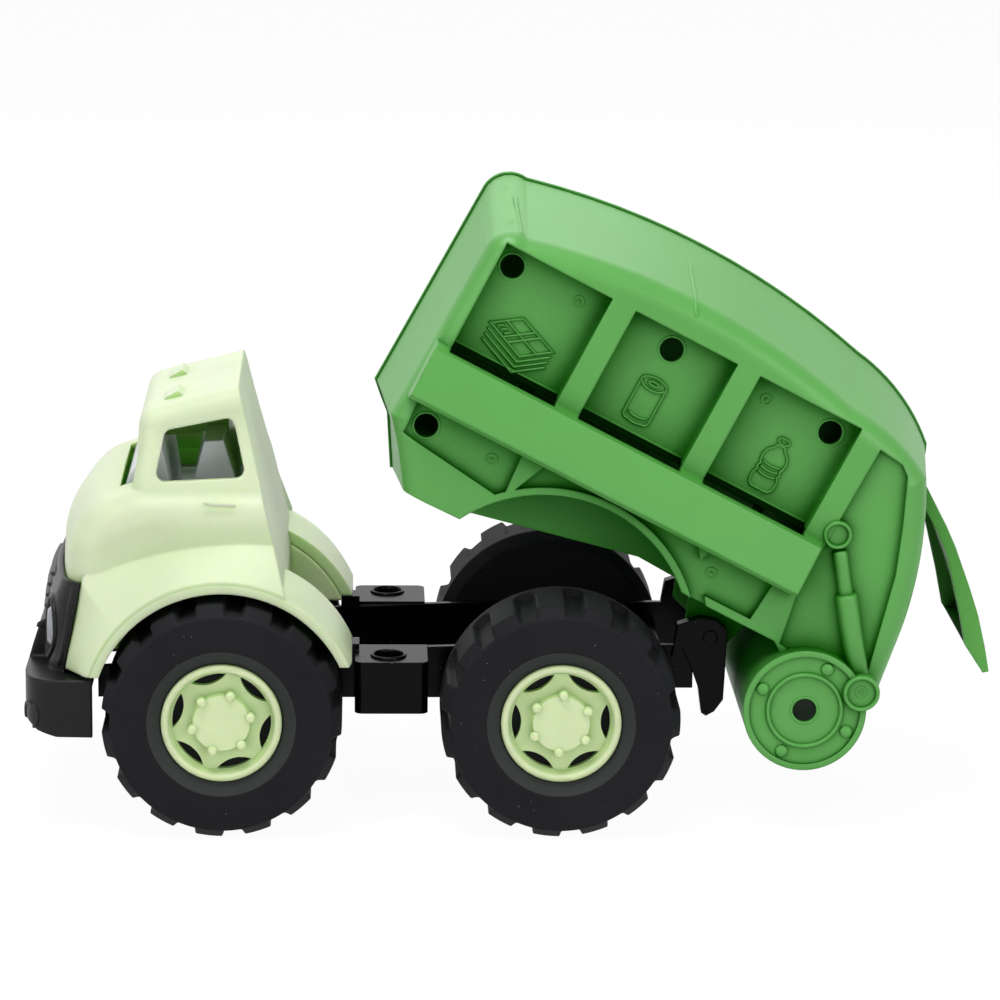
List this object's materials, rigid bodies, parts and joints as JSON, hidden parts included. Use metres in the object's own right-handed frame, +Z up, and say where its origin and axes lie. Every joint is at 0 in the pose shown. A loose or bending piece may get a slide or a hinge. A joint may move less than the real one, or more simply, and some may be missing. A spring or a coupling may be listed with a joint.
{
  "type": "toy refuse truck",
  "caption": "Moulded plastic toy refuse truck with rolling wheels, a tipping recycling body and a free-hanging tailgate.",
  "frame": {"origin": "on the floor under the middle of the bounding box, with the body raised as stored", "axes": "+X towards the cab's nose, +Y to the truck's left, +Z up"},
  "size_m": [0.3536, 0.154, 0.2291],
  "materials": {
    "cab_green": "satin",
    "rim_green": "satin",
    "body_green": "satin",
    "gate_green": "satin",
    "chassis_black": "gloss",
    "bumper_black": "satin",
    "insert_grey": "satin",
    "tyre": "matte"
  },
  "bodies": {
    "frame": {"chassis": "chassis_black", "cab": "cab_green", "bumper": "bumper_black", "cab_insert": "insert_grey", "headlights": "insert_grey"},
    "front_wheels": {"front_tyres": "tyre", "front_rims": "rim_green", "front_axle": "chassis_black"},
    "rear_wheels": {"rear_tyres": "tyre", "rear_rims": "rim_green", "rear_axle": "chassis_black"},
    "tipping_body": {"body_left": "body_green", "body_right": "body_green", "pivot_pin": "body_green"},
    "tailgate": {"tailgate": "gate_green"}
  },
  "joints": [
    {"name": "front_wheels_roll", "type": "hinge", "parent": "frame", "child": "front_wheels", "pos_m": [0.10338, 0, 0.0429], "axis": [0, 1, 0], "continuous": true},
    {"name": "rear_wheels_roll", "type": "hinge", "parent": "frame", "child": "rear_wheels", "pos_m": [-0.01762, 0, 0.0429], "axis": [0, 1, 0], "continuous": true},
    {"name": "body_tip", "type": "hinge", "parent": "frame", "child": "tipping_body", "pos_m": [-0.07362, 0, 0.0644], "axis": [0, -1, 0], "range_deg": [-27.5, 0]},
    {"name": "tailgate_swing", "type": "hinge", "parent": "tipping_body", "child": "tailgate", "pos_m": [-0.14503, 0, 0.12362], "axis": [0, 1, 0], "range_deg": [-34, 40]}
  ]
}
